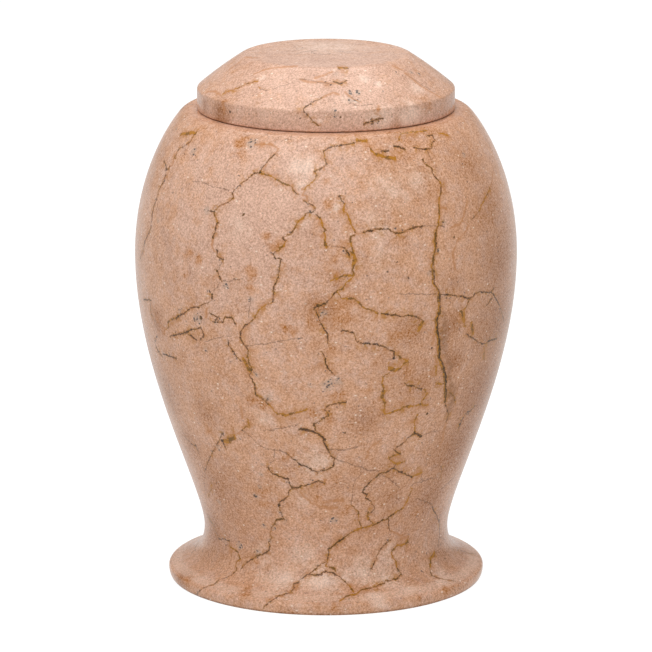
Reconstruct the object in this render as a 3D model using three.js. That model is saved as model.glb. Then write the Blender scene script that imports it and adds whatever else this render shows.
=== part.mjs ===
// Cremation urn of polished marble: a hollow turned body on a spreading foot, and a loose turned lid.
// Millimetres, +Z up. The origin is the middle of the underside, which is also the turning axis.
import * as THREE from "three";

// Body, from the underside up: radii are measured from the axis, heights from the underside
const UNDERSIDE_RADIUS = 78;
const LIP_RADIUS = 79.5;
const LIP_HEIGHT = 4.3;
const CREST_RADIUS = 73.8;
const CREST_HEIGHT = 8.1;
const CREST_SLOPE = THREE.MathUtils.degToRad(22.6);
const WAIST_RADIUS = 61.4;
const WAIST_HEIGHT = 25.5;
const BELLY_RADIUS = 95.4;
const BELLY_HEIGHT = 165.9;
const SHOULDER_RADIUS = 70.4;
const SHOULDER_SLOPE = THREE.MathUtils.degToRad(42.8);
const SEAT_HEIGHT = 239.2;
const SEAT_ROUNDING = 2.4;

// How far each curve of the outline runs straight on before it bends
const LIP_REACH = 0.55;
const CREST_REACH = 7.6;
const WAIST_REACH_DOWN = 11.2;
const WAIST_REACH_UP = 20.3;
const BELLY_REACH_DOWN = 61.6;
const BELLY_REACH_UP = 41.5;
const SHOULDER_REACH = 7.8;

// Cavity: the wall is about the same thickness all round, and the foot is solid
const WALL = 13;
const MOUTH_RADIUS = 50;
const MOUTH_DEPTH = 11;
const MOUTH_CHAMFER = 1.2;
const CAVITY_SHOULDER_REACH = 28;
const CAVITY_REACH_UP = 36;
const CAVITY_REACH_DOWN = 54;
const CAVITY_FOOT_RADIUS = 52;
const CAVITY_FOOT_HEIGHT = 48;
const CAVITY_FOOT_SLOPE = THREE.MathUtils.degToRad(68);
const CAVITY_FOOT_REACH = 18;
const FLOOR_HEIGHT = 33;
const FLOOR_RADIUS = 36;
const FLOOR_REACH = 9;

// Lid: a locating spigot, a bearing face, an upright band, a long bevel and a flat top
const TOTAL_HEIGHT = 267;
const LID_RADIUS = 64;
const LID_GAP = 0.3;
const BAND_HEIGHT = 10.4;
const BAND_ROUNDING = 0.9;
const BEVEL_BOW = 0.4;
const TOP_RADIUS = 41.2;
const TOP_ROUNDING = 3;
const SPIGOT_CLEARANCE = 1.5;
const SPIGOT_DEPTH = 8;
const SPIGOT_CHAMFER = 1.5;

// Fineness of the turned surfaces
const SEGMENTS_AROUND = 52;
const LONG_CURVE_STEPS = 13;
const SHORT_CURVE_STEPS = 6;
const ROUNDING_STEPS = 3;

const STONE = { color: 0xc99c83, roughness: 0.22, metalness: 0 };

const at = (radius, height) => new THREE.Vector2(radius, height);

// The point a given distance from another, along an angle above the outward direction.
const toward = (point, angle, distance) =>
  at(point.x + distance * Math.cos(angle), point.y + distance * Math.sin(angle));

const line = (from, to) => [new THREE.LineCurve(from, to), 1];

const curve = (from, leaving, arriving, to, steps) => [
  new THREE.CubicBezierCurve(from, leaving, arriving, to),
  steps,
];

const rounding = (from, corner, to) => [new THREE.QuadraticBezierCurve(from, corner, to), ROUNDING_STEPS];

// Runs the stretches of an outline end to end into one list of points, with no point twice.
function outlineOf(stretches) {
  const points = [];
  for (const [stretch, steps] of stretches) {
    const run = stretch.getPoints(steps);
    points.push(...(points.length ? run.slice(1) : run));
  }
  return points;
}

// A solid turned about the Z axis from an outline that starts and ends on the axis.
function turned(name, stretches, material) {
  const geometry = new THREE.LatheGeometry(outlineOf(stretches), SEGMENTS_AROUND);
  geometry.rotateX(Math.PI / 2);
  const mesh = new THREE.Mesh(geometry, material);
  mesh.name = name;
  return mesh;
}

// The outside of the body, from the middle of the underside to the edge of the lid's seat.
function outerStretches() {
  const underside = at(UNDERSIDE_RADIUS, 0);
  const lip = at(LIP_RADIUS, LIP_HEIGHT);
  const crest = at(CREST_RADIUS, CREST_HEIGHT);
  const waist = at(WAIST_RADIUS, WAIST_HEIGHT);
  const belly = at(BELLY_RADIUS, BELLY_HEIGHT);
  const edge = at(SHOULDER_RADIUS, SEAT_HEIGHT);
  const shoulder = toward(edge, -SHOULDER_SLOPE, SEAT_ROUNDING);
  const seatRim = at(SHOULDER_RADIUS - SEAT_ROUNDING, SEAT_HEIGHT);
  const crestReach = LIP_REACH * crest.distanceTo(lip);
  return [
    line(at(0, 0), underside),
    curve(
      underside,
      at(LIP_RADIUS - LIP_REACH * (LIP_RADIUS - UNDERSIDE_RADIUS), 0),
      at(LIP_RADIUS, LIP_REACH * LIP_HEIGHT),
      lip,
      ROUNDING_STEPS,
    ),
    curve(
      lip,
      at(LIP_RADIUS, LIP_HEIGHT + LIP_REACH * (CREST_HEIGHT - LIP_HEIGHT)),
      toward(crest, -CREST_SLOPE, crestReach),
      crest,
      SHORT_CURVE_STEPS,
    ),
    curve(
      crest,
      toward(crest, Math.PI - CREST_SLOPE, CREST_REACH),
      at(WAIST_RADIUS, WAIST_HEIGHT - WAIST_REACH_DOWN),
      waist,
      SHORT_CURVE_STEPS,
    ),
    curve(
      waist,
      at(WAIST_RADIUS, WAIST_HEIGHT + WAIST_REACH_UP),
      at(BELLY_RADIUS, BELLY_HEIGHT - BELLY_REACH_DOWN),
      belly,
      LONG_CURVE_STEPS,
    ),
    curve(
      belly,
      at(BELLY_RADIUS, BELLY_HEIGHT + BELLY_REACH_UP),
      toward(edge, -SHOULDER_SLOPE, SHOULDER_REACH),
      shoulder,
      LONG_CURVE_STEPS,
    ),
    rounding(shoulder, edge, seatRim),
  ];
}

// The seat, the mouth and the cavity, from the seat's rim down to the middle of the floor.
function innerStretches() {
  const seatRim = at(SHOULDER_RADIUS - SEAT_ROUNDING, SEAT_HEIGHT);
  const mouthEdge = at(MOUTH_RADIUS + MOUTH_CHAMFER, SEAT_HEIGHT);
  const mouthTop = at(MOUTH_RADIUS, SEAT_HEIGHT - MOUTH_CHAMFER);
  const mouthFoot = at(MOUTH_RADIUS, SEAT_HEIGHT - MOUTH_DEPTH);
  const widest = at(BELLY_RADIUS - WALL, BELLY_HEIGHT);
  const sideFoot = at(CAVITY_FOOT_RADIUS, CAVITY_FOOT_HEIGHT);
  const floorEdge = at(FLOOR_RADIUS, FLOOR_HEIGHT);
  return [
    line(seatRim, mouthEdge),
    line(mouthEdge, mouthTop),
    line(mouthTop, mouthFoot),
    curve(
      mouthFoot,
      toward(mouthFoot, -SHOULDER_SLOPE, CAVITY_SHOULDER_REACH),
      at(widest.x, widest.y + CAVITY_REACH_UP),
      widest,
      SHORT_CURVE_STEPS,
    ),
    curve(
      widest,
      at(widest.x, widest.y - CAVITY_REACH_DOWN),
      toward(sideFoot, CAVITY_FOOT_SLOPE, CAVITY_FOOT_REACH),
      sideFoot,
      SHORT_CURVE_STEPS,
    ),
    curve(
      sideFoot,
      toward(sideFoot, CAVITY_FOOT_SLOPE + Math.PI, FLOOR_REACH),
      at(FLOOR_RADIUS + FLOOR_REACH, FLOOR_HEIGHT),
      floorEdge,
      ROUNDING_STEPS,
    ),
    line(floorEdge, at(0, FLOOR_HEIGHT)),
  ];
}

// The lid, with heights from its bearing face: the spigot hangs below, the band and bevel stand above.
function lidStretches() {
  const top = TOTAL_HEIGHT - SEAT_HEIGHT - LID_GAP;
  const spigotRadius = MOUTH_RADIUS - SPIGOT_CLEARANCE;
  const bevelFoot = at(LID_RADIUS, BAND_HEIGHT);
  const bevelTop = at(TOP_RADIUS, top);
  const bevelAngle = bevelTop.clone().sub(bevelFoot).angle();
  const bevelStart = toward(bevelFoot, bevelAngle, BAND_ROUNDING);
  const bevelEnd = toward(bevelTop, bevelAngle + Math.PI, TOP_ROUNDING);
  const bevelMiddle = bevelStart.clone().lerp(bevelEnd, 0.5);
  const bow = toward(bevelMiddle, bevelAngle - Math.PI / 2, 2 * BEVEL_BOW);
  return [
    line(at(0, -SPIGOT_DEPTH), at(spigotRadius - SPIGOT_CHAMFER, -SPIGOT_DEPTH)),
    line(at(spigotRadius - SPIGOT_CHAMFER, -SPIGOT_DEPTH), at(spigotRadius, SPIGOT_CHAMFER - SPIGOT_DEPTH)),
    line(at(spigotRadius, SPIGOT_CHAMFER - SPIGOT_DEPTH), at(spigotRadius, 0)),
    line(at(spigotRadius, 0), at(LID_RADIUS - BAND_ROUNDING, 0)),
    rounding(at(LID_RADIUS - BAND_ROUNDING, 0), at(LID_RADIUS, 0), at(LID_RADIUS, BAND_ROUNDING)),
    line(at(LID_RADIUS, BAND_ROUNDING), at(LID_RADIUS, BAND_HEIGHT - BAND_ROUNDING)),
    rounding(at(LID_RADIUS, BAND_HEIGHT - BAND_ROUNDING), bevelFoot, bevelStart),
    rounding(bevelStart, bow, bevelEnd),
    rounding(bevelEnd, bevelTop, at(TOP_RADIUS - TOP_ROUNDING, top)),
    line(at(TOP_RADIUS - TOP_ROUNDING, top), at(0, top)),
  ];
}

const stone = new THREE.MeshStandardMaterial(STONE);

const body = turned("urn_body", [...outerStretches(), ...innerStretches()], stone);

const lid = turned("urn_lid", lidStretches(), stone);
lid.position.z = SEAT_HEIGHT + LID_GAP;

const urn = new THREE.Group();
urn.name = "cremation_urn";
urn.add(body, lid);

export default urn;
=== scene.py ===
"""Cremation urn of polished pink-tan marble: the body and the loose lid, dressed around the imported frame."""
import math

import bpy
from bpy.props import FloatProperty, FloatVectorProperty, IntProperty, PointerProperty
from mathutils import Euler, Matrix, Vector
from mathutils.geometry import interpolate_bezier


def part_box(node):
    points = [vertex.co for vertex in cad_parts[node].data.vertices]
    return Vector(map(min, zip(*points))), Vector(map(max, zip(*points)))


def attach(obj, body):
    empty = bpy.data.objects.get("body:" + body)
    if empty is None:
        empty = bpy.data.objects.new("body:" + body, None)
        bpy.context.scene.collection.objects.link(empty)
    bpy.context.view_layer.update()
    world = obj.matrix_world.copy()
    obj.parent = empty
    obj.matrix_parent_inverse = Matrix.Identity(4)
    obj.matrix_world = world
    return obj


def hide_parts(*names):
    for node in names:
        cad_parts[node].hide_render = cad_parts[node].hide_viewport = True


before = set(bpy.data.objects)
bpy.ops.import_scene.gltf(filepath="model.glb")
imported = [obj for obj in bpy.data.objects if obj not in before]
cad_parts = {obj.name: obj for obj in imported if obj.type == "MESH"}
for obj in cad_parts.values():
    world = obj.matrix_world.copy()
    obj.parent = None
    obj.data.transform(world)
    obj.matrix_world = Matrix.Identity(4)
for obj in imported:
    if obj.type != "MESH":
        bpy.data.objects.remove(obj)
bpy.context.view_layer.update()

bl_info = {
    "name": "Marble cremation urn",
    "version": (1, 0, 0),
    "blender": (4, 5, 0),
    "location": "3D View > Sidebar > Urn",
    "description": "Turns a marble urn and its lid, and sets them in a white studio",
    "category": "Object",
}

BODY_NODE = "urn_body"
LID_NODE = "urn_lid"
MM = 0.001

body_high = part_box(BODY_NODE)[1]
lid_low, lid_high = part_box(LID_NODE)


def length(name, description, default):
    return FloatProperty(name=name, description=description, default=default, min=0, unit="LENGTH")


def angle(name, description, default_degrees):
    default = math.radians(default_degrees)
    return FloatProperty(name=name, description=description, default=default, subtype="ANGLE")


def colour(name, description, default):
    return FloatVectorProperty(
        name=name, description=description, default=default, size=3, min=0, max=1, subtype="COLOR"
    )


def amount(name, description, default):
    return FloatProperty(name=name, description=description, default=default, min=0)


class UrnBodySizes(bpy.types.PropertyGroup):
    """Radii from the turning axis and heights from the underside"""

    underside_radius: length("Underside radius", "Edge of the flat underside", 78.0 * MM)
    lip_radius: length("Lip radius", "Widest part of the foot", 79.5 * MM)
    lip_height: length("Lip height", "Height of the foot's widest part", 4.3 * MM)
    crest_radius: length("Crest radius", "Where the lip turns into the cove", 73.8 * MM)
    crest_height: length("Crest height", "Height of that turn", 8.1 * MM)
    crest_slope: angle("Crest slope", "Slope of the foot's top at the crest", 22.6)
    crest_reach: length("Crest reach", "How far the cove runs straight on from the crest", 7.6 * MM)
    waist_radius: length("Waist radius", "Narrowest part above the foot", 61.4 * MM)
    waist_height: length("Waist height", "Height of the narrowest part", 25.5 * MM)
    waist_reach_down: length("Waist reach down", "Straight run below the waist", 11.2 * MM)
    waist_reach_up: length("Waist reach up", "Straight run above the waist", 20.3 * MM)
    belly_radius: length("Belly radius", "Widest part of the body", body_high.x)
    belly_height: length("Belly height", "Height of the widest part", 165.9 * MM)
    belly_reach_down: length("Belly reach down", "Straight run below the widest part", 61.6 * MM)
    belly_reach_up: length("Belly reach up", "Straight run above the widest part", 41.5 * MM)
    shoulder_radius: length("Shoulder radius", "Outer edge of the lid's seat", 70.4 * MM)
    shoulder_slope: angle("Shoulder slope", "Slope of the shoulder at the seat", 42.8)
    shoulder_reach: length("Shoulder reach", "Straight run below the seat's edge", 7.8 * MM)
    seat_height: length("Seat height", "Height of the lid's seat", body_high.z)
    seat_rounding: length("Seat rounding", "Rounding of the seat's outer edge", 2.4 * MM)
    mouth_radius: length("Mouth radius", "Radius of the mouth", 50.0 * MM)
    mouth_depth: length("Mouth depth", "Depth of the mouth's straight wall", 11.0 * MM)
    mouth_chamfer: length("Mouth chamfer", "Chamfer at the mouth's edge", 1.2 * MM)
    wall: length("Wall", "Wall thickness at the belly", 13.0 * MM)
    cavity_reach_top: length("Cavity top reach", "Straight run below the mouth", 28.0 * MM)
    cavity_reach_up: length("Cavity reach up", "Straight run above the widest part", 36.0 * MM)
    cavity_reach_down: length("Cavity reach down", "Straight run below the widest part", 54.0 * MM)
    cavity_foot_radius: length("Cavity foot radius", "Radius where the floor's curve starts", 52.0 * MM)
    cavity_foot_height: length("Cavity foot height", "Height where the floor's curve starts", 48.0 * MM)
    cavity_foot_slope: angle("Cavity foot slope", "Slope of the side where that curve starts", 68.0)
    cavity_foot_reach: length("Cavity foot reach", "Straight run above that curve", 18.0 * MM)
    floor_height: length("Floor height", "Height of the cavity's floor", 33.0 * MM)
    floor_radius: length("Floor radius", "Radius of the floor's flat part", 36.0 * MM)
    floor_reach: length("Floor reach", "Straight run into the floor's curve", 9.0 * MM)


class UrnLidSizes(bpy.types.PropertyGroup):
    """Radii from the turning axis, and heights from the underside or the lid's bearing face"""

    lid_radius: length("Lid radius", "Radius of the upright band", lid_high.x)
    bearing_height: length("Bearing height", "Height of the face that rests on the seat", 239.5 * MM)
    top_height: length("Top height", "Height of the flat top", lid_high.z)
    spigot_foot: length("Spigot foot", "Height of the spigot's lower face", lid_low.z)
    spigot_radius: length("Spigot radius", "Radius of the locating spigot", 48.5 * MM)
    spigot_chamfer: length("Spigot chamfer", "Chamfer of the spigot's lower edge", 1.5 * MM)
    band_height: length("Band height", "Height of the upright band", 10.4 * MM)
    band_rounding: length("Band rounding", "Rounding of the band's two edges", 0.9 * MM)
    bevel_bow: length("Bevel bow", "How far the bevel bows out", 0.4 * MM)
    top_radius: length("Top radius", "Radius of the flat top", 41.2 * MM)
    top_rounding: length("Top rounding", "Rounding of the top's edge", 3.0 * MM)


class UrnStoneLook(bpy.types.PropertyGroup):
    """Colours of the marble, and the width of its veins"""

    pink: colour("Pink stone", "Main pink of the marble", (0.655, 0.408, 0.300))
    sand: colour("Sand stone", "Yellower parts of the marble", (0.625, 0.338, 0.200))
    tan: colour("Tan stone", "Browner clouds of the marble", (0.350, 0.138, 0.044))
    # Pale also paints highlights on the shoulder and along the foot's lip, and a reflection over the lid's top
    pale: colour("Pale stone", "Pale pink clouds", (0.800, 0.580, 0.460))
    shell: colour("Shell fleck", "Small pale flecks of shell", (0.900, 0.730, 0.590))
    stain: colour("Rust stain", "Orange-brown stains", (0.490, 0.215, 0.085))
    gold: colour("Gold vein", "Golden veins", (0.430, 0.180, 0.016))
    olive: colour("Olive vein", "Browner stretches of the golden veins", (0.170, 0.080, 0.015))
    # Umber also paints the contact shadow along the foot's bottom edge
    umber: colour("Umber shade", "Brown shade beside the long crack", (0.230, 0.095, 0.028))
    bistre: colour("Hair crack", "Brown of the finest cracks", (0.115, 0.055, 0.024))
    dark: colour("Dark vein", "Dark grey-brown veins", (0.050, 0.024, 0.011))
    grey: colour("Grey cluster", "Bluish grey clusters along the veins", (0.440, 0.340, 0.275))
    slate: colour("Slate speck", "Dark grey specks in the clusters", (0.085, 0.075, 0.070))
    grain_size: length("Grain size", "Size of the stone's grains", 0.9 * MM)
    mottle_size: length("Mottle size", "Size of the small clouds", 9.0 * MM)
    cloud_size: length("Cloud size", "Size of the large clouds", 45.0 * MM)
    crack_size: length("Crack size", "Distance between the fine cracks", 34.0 * MM)
    roughness: amount("Polish roughness", "Roughness of the polished stone", 0.24)
    shine: amount("Shine", "How strongly the polish mirrors the room", 0.25)


class UrnStageLook(bpy.types.PropertyGroup):
    """Camera, lights and floor"""

    camera_distance: length("Camera distance", "From the camera to the point it looks at", 2.5603)
    camera_pitch: angle("Camera pitch", "How far the camera looks down", 13.46)
    aim_height: length("Aim height", "Height of the point that the camera looks at", 0.12785)
    focal_length: length("Focal length", "In millimetres, on a 36 mm sensor", 281.94)
    floor_colour: colour("Floor", "Colour of the plain floor", (0.24, 0.24, 0.24))
    floor_glow: amount("Floor glow", "Light that the floor throws on the urn", 0.67)
    floor_white: amount("Floor white", "Light that the floor gives off to the eye", 0.90)
    world_light: amount("World light", "Light from all round", 0.43)
    key_power: FloatProperty(name="Key light", description="Front light", default=13.8, unit="POWER")
    top_power: FloatProperty(name="Top light", description="Light above", default=17.4, unit="POWER")


class UrnSettings(bpy.types.PropertyGroup):
    """All that a user would change"""

    body: PointerProperty(type=UrnBodySizes)
    lid: PointerProperty(type=UrnLidSizes)
    stone: PointerProperty(type=UrnStoneLook)
    stage: PointerProperty(type=UrnStageLook)
    turning_steps: IntProperty(name="Turning steps", description="Facets round the urn", default=192, min=12)


# Outlines, as (radius, height) points

LONG_STEPS = 44
SHORT_STEPS = 16
ROUNDING_STEPS = 7
LIP_REACH = 0.55
QUADRATIC_HANDLE = 2 / 3


def at(radius, height):
    return Vector((radius, height))


def toward(point, slope, distance):
    return point + distance * Vector((math.cos(slope), math.sin(slope)))


def bend(start, leaving, arriving, end, steps):
    return interpolate_bezier(start, leaving, arriving, end, steps + 1)


def rounded(start, corner, end):
    leaving = start.lerp(corner, QUADRATIC_HANDLE)
    arriving = end.lerp(corner, QUADRATIC_HANDLE)
    return bend(start, leaving, arriving, end, ROUNDING_STEPS)


def joined(stretches):
    """Runs the stretches of an outline end to end, with no point twice."""
    points = [stretches[0][0]]
    for stretch in stretches:
        points.extend(stretch[1:])
    return points


def body_outline(size):
    """The whole outline of the body, from the middle of the underside round to the middle of the floor."""
    underside = at(size.underside_radius, 0)
    lip = at(size.lip_radius, size.lip_height)
    crest = at(size.crest_radius, size.crest_height)
    waist = at(size.waist_radius, size.waist_height)
    belly = at(size.belly_radius, size.belly_height)
    edge = at(size.shoulder_radius, size.seat_height)
    shoulder = toward(edge, -size.shoulder_slope, size.seat_rounding)
    seat_rim = at(size.shoulder_radius - size.seat_rounding, size.seat_height)
    mouth_edge = at(size.mouth_radius + size.mouth_chamfer, size.seat_height)
    mouth_top = at(size.mouth_radius, size.seat_height - size.mouth_chamfer)
    mouth_foot = at(size.mouth_radius, size.seat_height - size.mouth_depth)
    widest = at(size.belly_radius - size.wall, size.belly_height)
    side_foot = at(size.cavity_foot_radius, size.cavity_foot_height)
    floor_edge = at(size.floor_radius, size.floor_height)
    lip_out = at(size.lip_radius - LIP_REACH * (size.lip_radius - size.underside_radius), 0)
    lip_side = at(size.lip_radius, LIP_REACH * size.lip_height)
    lip_up = at(size.lip_radius, size.lip_height + LIP_REACH * (size.crest_height - size.lip_height))
    crest_out = toward(crest, -size.crest_slope, LIP_REACH * (crest - lip).length)
    crest_in = toward(crest, math.pi - size.crest_slope, size.crest_reach)
    waist_down = at(size.waist_radius, size.waist_height - size.waist_reach_down)
    waist_up = at(size.waist_radius, size.waist_height + size.waist_reach_up)
    belly_down = at(size.belly_radius, size.belly_height - size.belly_reach_down)
    belly_up = at(size.belly_radius, size.belly_height + size.belly_reach_up)
    shoulder_down = toward(edge, -size.shoulder_slope, size.shoulder_reach)
    cavity_top = toward(mouth_foot, -size.shoulder_slope, size.cavity_reach_top)
    cavity_up = at(widest.x, widest.y + size.cavity_reach_up)
    cavity_down = at(widest.x, widest.y - size.cavity_reach_down)
    side_up = toward(side_foot, size.cavity_foot_slope, size.cavity_foot_reach)
    side_down = toward(side_foot, size.cavity_foot_slope + math.pi, size.floor_reach)
    floor_out = at(size.floor_radius + size.floor_reach, size.floor_height)
    return joined([
        [at(0, 0), underside],
        bend(underside, lip_out, lip_side, lip, ROUNDING_STEPS),
        bend(lip, lip_up, crest_out, crest, SHORT_STEPS),
        bend(crest, crest_in, waist_down, waist, SHORT_STEPS),
        bend(waist, waist_up, belly_down, belly, LONG_STEPS),
        bend(belly, belly_up, shoulder_down, shoulder, LONG_STEPS),
        rounded(shoulder, edge, seat_rim),
        [seat_rim, mouth_edge, mouth_top, mouth_foot],
        bend(mouth_foot, cavity_top, cavity_up, widest, SHORT_STEPS),
        bend(widest, cavity_down, side_up, side_foot, SHORT_STEPS),
        bend(side_foot, side_down, floor_out, floor_edge, ROUNDING_STEPS),
        [floor_edge, at(0, size.floor_height)],
    ])


def lid_outline(size):
    """The outline of the lid, from the middle of the spigot's lower face up to the middle of the top."""
    base = size.bearing_height
    spigot_low = size.spigot_foot + size.spigot_chamfer
    spigot_in = size.spigot_radius - size.spigot_chamfer
    bevel_foot = at(size.lid_radius, base + size.band_height)
    bevel_top = at(size.top_radius, size.top_height)
    rise = bevel_top - bevel_foot
    bevel_slope = math.atan2(rise.y, rise.x)
    bevel_start = toward(bevel_foot, bevel_slope, size.band_rounding)
    bevel_end = toward(bevel_top, bevel_slope + math.pi, size.top_rounding)
    middle = bevel_start.lerp(bevel_end, 0.5)
    bow = toward(middle, bevel_slope - math.pi / 2, 2 * size.bevel_bow)
    top_edge = at(size.top_radius - size.top_rounding, size.top_height)
    band_in = at(size.lid_radius - size.band_rounding, base)
    band_low = at(size.lid_radius, base + size.band_rounding)
    band_high = at(size.lid_radius, base + size.band_height - size.band_rounding)
    return joined([
        [at(0, size.spigot_foot), at(spigot_in, size.spigot_foot)],
        [at(spigot_in, size.spigot_foot), at(size.spigot_radius, spigot_low), at(size.spigot_radius, base)],
        [at(size.spigot_radius, base), band_in],
        rounded(band_in, at(size.lid_radius, base), band_low),
        [band_low, band_high],
        rounded(band_high, bevel_foot, bevel_start),
        rounded(bevel_start, bow, bevel_end),
        rounded(bevel_end, bevel_top, top_edge),
        [top_edge, at(0, size.top_height)],
    ])


# Turning a piece on the lathe

MERGE_DISTANCE = 1e-6
SEED_SIZE = 0.001
SMOOTH_ANGLE = math.radians(28)


def turn_piece(name, outline, steps):
    """Draws an outline by extruding one vertex from point to point, then spins it into a closed solid."""
    bpy.ops.object.select_all(action="DESELECT")
    start = Vector((outline[0].x, 0, outline[0].y))
    bpy.ops.mesh.primitive_plane_add(size=SEED_SIZE, location=start)
    piece = bpy.context.object
    piece.name = piece.data.name = name
    bpy.ops.object.transform_apply(location=True, rotation=True, scale=True)
    bpy.ops.object.mode_set(mode="EDIT")
    bpy.ops.mesh.select_mode(type="VERT")
    bpy.ops.mesh.select_all(action="SELECT")
    bpy.ops.mesh.merge(type="CENTER")
    for here, there in zip(outline, outline[1:]):
        step = there - here
        bpy.ops.mesh.extrude_vertices_move(TRANSFORM_OT_translate={"value": (step.x, 0, step.y)})
    bpy.ops.mesh.select_all(action="SELECT")
    bpy.ops.mesh.spin(steps=steps, angle=math.tau, center=(0, 0, 0), axis=(0, 0, 1))
    bpy.ops.mesh.select_all(action="SELECT")
    bpy.ops.mesh.remove_doubles(threshold=MERGE_DISTANCE)
    bpy.ops.mesh.normals_make_consistent(inside=False)
    bpy.ops.object.mode_set(mode="OBJECT")
    bpy.ops.object.shade_smooth_by_angle(angle=SMOOTH_ANGLE)
    return piece


# The stone's patterns

# Noises: size in millimetres, detail, roughness
NOISES = {
    "jagged": (3.0, 4.0, 0.80),
    "ragged": (8.0, 3.0, 0.60),
    "hue": (7.0, 4.0, 0.75),
    "wander": (2.2, 3.0, 0.80),
    "tarnish": (3.2, 2.0, 0.70),
    "char": (2.0, 2.0, 0.70),
    "ochre": (4.0, 3.0, 0.75),
    "crack drift": (26.0, 2.0, 0.50),
    "crack fade": (24.0, 2.0, 0.50),
    "crack gold": (17.0, 1.0, 0.50),
}

# Eases: the values between which each one changes, and its results there
EASES = {
    # Read from noises, cells, marks and shares
    "sand": (0.25, 0.62, 0.0, 1.0),
    "cloud": (0.40, 0.72, 0.0, 0.18),
    "tan mark": (0.05, 0.90, 0.0, 0.92),
    "pale mark": (0.10, 0.90, 0.0, 0.75),
    "shade mark": (0.05, 1.00, 0.0, 0.62),
    "grey mark": (0.10, 0.90, 0.0, 1.0),
    "dot mark": (0.25, 0.55, 0.0, 0.95),
    "stain mark": (0.12, 0.95, 0.0, 0.80),
    "stain strength": (0.32, 0.62, 0.65, 1.60),
    "shell edge": (0.32, 0.14, 0.0, 1.0),
    "shell choice": (0.86, 1.00, 0.0, 1.0),
    "speck edge": (0.56, 0.26, 0.0, 1.0),
    "speck": (0.94, 1.03, 0.0, 0.90),
    "grey hue": (0.50, 0.40, 0.0, 1.0),
    "fringe hue": (0.38, 0.50, 0.0, 1.0),
    "tarnish": (0.46, 0.60, 0.0, 1.0),
    "char": (0.38, 0.52, 0.0, 1.0),
    "ochre": (0.48, 0.62, 0.0, 0.75),
    "crack gold": (0.47, 0.53, 0.0, 1.0),
    # Read from the depth inside a vein's edge, in millimetres
    "speck crowd": (-1.8, 0.0, 0.0, 0.38),
    "grey side": (-2.0, 0.0, 0.0, 0.40),
    "gold halo": (-2.4, 0.2, 0.0, 0.40),
    "ochre side": (-5.0, -0.5, 0.0, 1.0),
    "rust line": (-0.9, 0.5, 0.0, 0.80),
    "fringe": (-0.9, 0.1, 0.0, 0.75),
    "hair line": (-0.20, 0.18, 0.0, 0.62),
    "gold line": (-0.25, 0.15, 0.0, 0.92),
    "dark line": (-0.20, 0.18, 0.0, 0.90),
    # Read from places on the urn, in millimetres
    # Painted shade under the lid's seat
    "painted seat shade": (4.0, 0.5, 0.0, 0.25),
    # Painted highlight along the foot's lip
    "lip highlight": (1.8, 0.4, 0.0, 0.40),
    # Painted contact shadow at the foot's bottom edge
    "contact shadow height": (1.8, 0.3, 0.0, 0.75),
    "contact shadow radius": (76.5, 78.0, 0.0, 1.0),
    # Depths in millimetres that take the natural cracks out of sight, by a noise or by their place
    "crack fade": (0.38, 0.46, -8.0, 0.0),
    "crack back": (-45.0, 5.0, -8.0, 0.0),
    "crack top": (258.0, 263.0, 0.0, -8.0),
}


# Wiring of shader nodes

NOISE_MIDDLE = (0.5, 0.5, 0.5)


class Wiring:
    """One node tree, with short ways to add a node and feed its inputs."""

    def __init__(self, tree):
        self.tree = tree

    def add(self, kind, feeds=(), **settings):
        node = self.tree.nodes.new(kind)
        for name, value in settings.items():
            setattr(node, name, value)
        for socket, value in dict(feeds).items():
            self.feed(node.inputs[socket], value)
        return node

    def feed(self, socket, value):
        if isinstance(value, bpy.types.NodeSocket):
            self.tree.links.new(value, socket)
        else:
            socket.default_value = value

    def math(self, operation, *values):
        return self.add("ShaderNodeMath", enumerate(values), operation=operation).outputs[0]

    def vector(self, operation, *values):
        node = self.add("ShaderNodeVectorMath", enumerate(values), operation=operation)
        return node.outputs["Value" if operation == "DISTANCE" else "Vector"]

    def scaled(self, vector, factor):
        node = self.add("ShaderNodeVectorMath", {"Vector": vector, "Scale": factor}, operation="SCALE")
        return node.outputs["Vector"]

    def eased(self, name, value):
        """A value run through one of the eases."""
        feeds = enumerate((value, *EASES[name]))
        return self.add("ShaderNodeMapRange", feeds, interpolation_type="SMOOTHSTEP").outputs[0]

    def mix(self, share, first, second, blend="MIX"):
        node = self.add("ShaderNodeMix", data_type="RGBA", blend_type=blend)
        colours = [socket for socket in node.inputs if socket.type == "RGBA"]
        self.feed(node.inputs[0], share)
        self.feed(colours[0], first)
        self.feed(colours[1], second)
        return next(socket for socket in node.outputs if socket.type == "RGBA")

    def noise(self, place, size, detail=2.0, roughness=0.5):
        feeds = {"Vector": place, "Scale": 1 / size, "Detail": detail, "Roughness": roughness}
        return self.add("ShaderNodeTexNoise", feeds).outputs

    def pattern(self, name, place):
        return self.noise(place, *NOISES[name])

    def shaken(self, place, noise, by):
        """A place moved to and fro by a noise, by half the given length at most."""
        shift = self.vector("SUBTRACT", noise["Color"], NOISE_MIDDLE)
        return self.vector("ADD", place, self.scaled(shift, by))

    def cells(self, place, size, feature="F1"):
        feeds = {"Vector": place, "Scale": 1 / size}
        return self.add("ShaderNodeTexVoronoi", feeds, feature=feature).outputs

    def curve(self, value, points):
        """A drawn line: the points are joined straight, and it runs on level past its ends."""
        node = self.add("ShaderNodeFloatCurve", {"Value": value})
        mapping = node.mapping
        mapping.use_clip = False
        mapping.extend = "HORIZONTAL"
        mapping.clip_min_x = points[0][0]
        mapping.clip_max_x = points[-1][0]
        line = mapping.curves[0]
        line.points[0].location = points[0]
        line.points[1].location = points[-1]
        for point in points[1:-1]:
            line.points.new(*point)
        for point in line.points:
            point.handle_type = "VECTOR"
        mapping.update()
        return node.outputs[0]

    def group(self, tree, **feeds):
        node = self.add("ShaderNodeGroup", node_tree=tree)
        for name, value in feeds.items():
            self.feed(node.inputs[name.capitalize()], value)
        return node.outputs


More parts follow.
